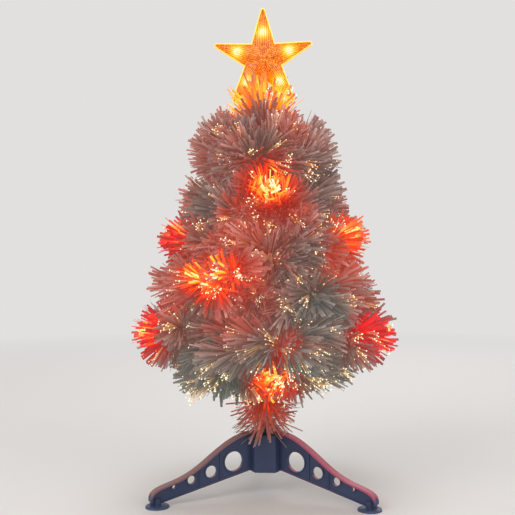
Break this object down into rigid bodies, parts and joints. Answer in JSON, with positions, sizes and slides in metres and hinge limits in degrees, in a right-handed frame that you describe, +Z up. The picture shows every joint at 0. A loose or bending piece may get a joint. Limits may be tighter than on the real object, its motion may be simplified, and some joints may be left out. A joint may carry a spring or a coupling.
{
  "type": "fiber optic christmas tree",
  "caption": "Small lit table tree: white strip needles on bendable branches round a hollow trunk, a clear star on top and a three-legged stand whose legs slide in.",
  "frame": {"origin": "on the trunk's axis at the floor, between the three foot pads", "axes": "+Z up the trunk, the star and the stand's front face look along -Y, +X to the right"},
  "size_m": [0.3248, 0.319, 0.6],
  "materials": {
    "needles": "matte",
    "stand_plastic": "satin",
    "pad_plastic": "matte",
    "trunk_steel": "satin",
    "hinge_steel": "satin",
    "fibres": "gloss",
    "lamp_plastic": "gloss",
    "star_plastic": "gloss",
    "board": "satin",
    "inlet_plastic": "satin"
  },
  "bodies": {
    "stand": {"stand_hub": "stand_plastic", "base_cover": "stand_plastic", "cover_screws": "hinge_steel", "light_board": "board", "dc_inlet": "inlet_plastic"},
    "trunk": {"trunk_tube": "trunk_steel", "trunk_collar": "stand_plastic", "fibre_ferrule": "inlet_plastic", "fibre_bundle": "fibres", "hinge_collars": "hinge_steel", "hinge_pins": "hinge_steel", "trunk_needles": "needles", "crown_needles": "needles", "trunk_lamps": "lamp_plastic", "top_spike": "stand_plastic"},
    "star": {"star_front": "star_plastic", "star_back": "star_plastic", "star_socket": "star_plastic", "star_lights": "lamp_plastic"},
    "leg_front_left": {"stand_leg_front_left": "stand_plastic", "foot_pad_front_left": "pad_plastic"},
    "leg_front_right": {"stand_leg_front_right": "stand_plastic", "foot_pad_front_right": "pad_plastic"},
    "leg_back": {"stand_leg_back": "stand_plastic", "foot_pad_back": "pad_plastic"},
    "branch_1_1": {"branch_1_1": "needles"},
    "branch_1_2": {"branch_1_2": "needles"},
    "branch_1_3": {"branch_1_3": "needles"},
    "branch_1_4": {"branch_1_4": "needles"},
    "branch_1_5": {"branch_1_5": "needles"},
    "branch_2_1": {"branch_2_1": "needles"},
    "branch_2_2": {"branch_2_2": "needles"},
    "branch_2_3": {"branch_2_3": "needles"},
    "branch_2_4": {"branch_2_4": "needles"},
    "branch_2_5": {"branch_2_5": "needles"},
    "branch_3_1": {"branch_3_1": "needles"},
    "branch_3_2": {"branch_3_2": "needles", "lamp_1": "lamp_plastic"},
    "branch_3_3": {"branch_3_3": "needles"},
    "branch_3_4": {"branch_3_4": "needles"},
    "branch_3_5": {"branch_3_5": "needles", "lamp_2": "lamp_plastic"},
    "branch_4_1": {"branch_4_1": "needles"},
    "branch_4_2": {"branch_4_2": "needles"},
    "branch_4_3": {"branch_4_3": "needles"},
    "branch_4_4": {"branch_4_4": "needles"},
    "branch_4_5": {"branch_4_5": "needles", "lamp_3": "lamp_plastic"},
    "branch_5_1": {"branch_5_1": "needles"},
    "branch_5_2": {"branch_5_2": "needles", "lamp_4": "lamp_plastic"},
    "branch_5_3": {"branch_5_3": "needles"},
    "branch_5_4": {"branch_5_4": "needles"},
    "branch_5_5": {"branch_5_5": "needles", "lamp_5": "lamp_plastic"},
    "branch_6_1": {"branch_6_1": "needles"},
    "branch_6_2": {"branch_6_2": "needles"},
    "branch_6_3": {"branch_6_3": "needles"},
    "branch_6_4": {"branch_6_4": "needles"},
    "branch_6_5": {"branch_6_5": "needles"}
  },
  "joints": [
    {"name": "leg_front_left_slide", "type": "slide", "parent": "stand", "child": "leg_front_left", "axis": [0, 0, -1], "range_m": [0, 0.05]},
    {"name": "leg_front_right_slide", "type": "slide", "parent": "stand", "child": "leg_front_right", "axis": [0, 0, -1], "range_m": [0, 0.05]},
    {"name": "leg_back_slide", "type": "slide", "parent": "stand", "child": "leg_back", "axis": [0, 0, -1], "range_m": [0, 0.05]},
    {"name": "trunk_lift", "type": "slide", "parent": "stand", "child": "trunk", "axis": [0, 0, 1], "range_m": [0, 0.035]},
    {"name": "star_lift", "type": "slide", "parent": "trunk", "child": "star", "axis": [0, 0, 1], "range_m": [0, 0.037]},
    {"name": "branch_1_1_bend", "type": "hinge", "parent": "trunk", "child": "branch_1_1", "pos_m": [0, -0.0125, 0.38598], "axis": [-1, 0, 0], "range_deg": [-25, 15]},
    {"name": "branch_1_2_bend", "type": "hinge", "parent": "trunk", "child": "branch_1_2", "pos_m": [0.01189, -0.00386, 0.38598], "axis": [-0.309, -0.9511, 0], "range_deg": [-25, 15]},
    {"name": "branch_1_3_bend", "type": "hinge", "parent": "trunk", "child": "branch_1_3", "pos_m": [0.00735, 0.01011, 0.38598], "axis": [0.809, -0.5878, 0], "range_deg": [-25, 15]},
    {"name": "branch_1_4_bend", "type": "hinge", "parent": "trunk", "child": "branch_1_4", "pos_m": [-0.00735, 0.01011, 0.38598], "axis": [0.809, 0.5878, 0], "range_deg": [-25, 15]},
    {"name": "branch_1_5_bend", "type": "hinge", "parent": "trunk", "child": "branch_1_5", "pos_m": [-0.01189, -0.00386, 0.38598], "axis": [-0.309, 0.9511, 0], "range_deg": [-25, 15]},
    {"name": "branch_2_1_bend", "type": "hinge", "parent": "trunk", "child": "branch_2_1", "pos_m": [0.00735, -0.01011, 0.33011], "axis": [-0.809, -0.5878, 0], "range_deg": [-22, 15]},
    {"name": "branch_2_2_bend", "type": "hinge", "parent": "trunk", "child": "branch_2_2", "pos_m": [0.01189, 0.00386, 0.33011], "axis": [0.309, -0.9511, 0], "range_deg": [-22, 15]},
    {"name": "branch_2_3_bend", "type": "hinge", "parent": "trunk", "child": "branch_2_3", "pos_m": [0, 0.0125, 0.33011], "axis": [1, 0, 0], "range_deg": [-22, 15]},
    {"name": "branch_2_4_bend", "type": "hinge", "parent": "trunk", "child": "branch_2_4", "pos_m": [-0.01189, 0.00386, 0.33011], "axis": [0.309, 0.9511, 0], "range_deg": [-22, 15]},
    {"name": "branch_2_5_bend", "type": "hinge", "parent": "trunk", "child": "branch_2_5", "pos_m": [-0.00735, -0.01011, 0.33011], "axis": [-0.809, 0.5878, 0], "range_deg": [-22, 15]},
    {"name": "branch_3_1_bend", "type": "hinge", "parent": "trunk", "child": "branch_3_1", "pos_m": [0, -0.0125, 0.27893], "axis": [-1, 0, 0], "range_deg": [-20, 18]},
    {"name": "branch_3_2_bend", "type": "hinge", "parent": "trunk", "child": "branch_3_2", "pos_m": [0.01189, -0.00386, 0.27893], "axis": [-0.309, -0.9511, 0], "range_deg": [-20, 18]},
    {"name": "branch_3_3_bend", "type": "hinge", "parent": "trunk", "child": "branch_3_3", "pos_m": [0.00735, 0.01011, 0.27893], "axis": [0.809, -0.5878, 0], "range_deg": [-20, 18]},
    {"name": "branch_3_4_bend", "type": "hinge", "parent": "trunk", "child": "branch_3_4", "pos_m": [-0.00735, 0.01011, 0.27893], "axis": [0.809, 0.5878, 0], "range_deg": [-20, 18]},
    {"name": "branch_3_5_bend", "type": "hinge", "parent": "trunk", "child": "branch_3_5", "pos_m": [-0.01189, -0.00386, 0.27893], "axis": [-0.309, 0.9511, 0], "range_deg": [-20, 18]},
    {"name": "branch_4_1_bend", "type": "hinge", "parent": "trunk", "child": "branch_4_1", "pos_m": [0.00735, -0.01011, 0.23542], "axis": [-0.809, -0.5878, 0], "range_deg": [-20, 20]},
    {"name": "branch_4_2_bend", "type": "hinge", "parent": "trunk", "child": "branch_4_2", "pos_m": [0.01189, 0.00386, 0.23542], "axis": [0.309, -0.9511, 0], "range_deg": [-20, 20]},
    {"name": "branch_4_3_bend", "type": "hinge", "parent": "trunk", "child": "branch_4_3", "pos_m": [0, 0.0125, 0.23542], "axis": [1, 0, 0], "range_deg": [-20, 20]},
    {"name": "branch_4_4_bend", "type": "hinge", "parent": "trunk", "child": "branch_4_4", "pos_m": [-0.01189, 0.00386, 0.23542], "axis": [0.309, 0.9511, 0], "range_deg": [-20, 20]},
    {"name": "branch_4_5_bend", "type": "hinge", "parent": "trunk", "child": "branch_4_5", "pos_m": [-0.00735, -0.01011, 0.23542], "axis": [-0.809, 0.5878, 0], "range_deg": [-20, 20]},
    {"name": "branch_5_1_bend", "type": "hinge", "parent": "trunk", "child": "branch_5_1", "pos_m": [0, -0.0125, 0.18403], "axis": [-1, 0, 0], "range_deg": [-20, 25]},
    {"name": "branch_5_2_bend", "type": "hinge", "parent": "trunk", "child": "branch_5_2", "pos_m": [0.01189, -0.00386, 0.18403], "axis": [-0.309, -0.9511, 0], "range_deg": [-20, 25]},
    {"name": "branch_5_3_bend", "type": "hinge", "parent": "trunk", "child": "branch_5_3", "pos_m": [0.00735, 0.01011, 0.18403], "axis": [0.809, -0.5878, 0], "range_deg": [-20, 25]},
    {"name": "branch_5_4_bend", "type": "hinge", "parent": "trunk", "child": "branch_5_4", "pos_m": [-0.00735, 0.01011, 0.18403], "axis": [0.809, 0.5878, 0], "range_deg": [-20, 25]},
    {"name": "branch_5_5_bend", "type": "hinge", "parent": "trunk", "child": "branch_5_5", "pos_m": [-0.01189, -0.00386, 0.18403], "axis": [-0.309, 0.9511, 0], "range_deg": [-20, 25]},
    {"name": "branch_6_1_bend", "type": "hinge", "parent": "trunk", "child": "branch_6_1", "pos_m": [0.00735, -0.01011, 0.15524], "axis": [-0.809, -0.5878, 0], "range_deg": [-15, 30]},
    {"name": "branch_6_2_bend", "type": "hinge", "parent": "trunk", "child": "branch_6_2", "pos_m": [0.01189, 0.00386, 0.15524], "axis": [0.309, -0.9511, 0], "range_deg": [-15, 30]},
    {"name": "branch_6_3_bend", "type": "hinge", "parent": "trunk", "child": "branch_6_3", "pos_m": [0, 0.0125, 0.15524], "axis": [1, 0, 0], "range_deg": [-15, 30]},
    {"name": "branch_6_4_bend", "type": "hinge", "parent": "trunk", "child": "branch_6_4", "pos_m": [-0.01189, 0.00386, 0.15524], "axis": [0.309, 0.9511, 0], "range_deg": [-15, 30]},
    {"name": "branch_6_5_bend", "type": "hinge", "parent": "trunk", "child": "branch_6_5", "pos_m": [-0.00735, -0.01011, 0.15524], "axis": [-0.809, 0.5878, 0], "range_deg": [-15, 30]}
  ]
}
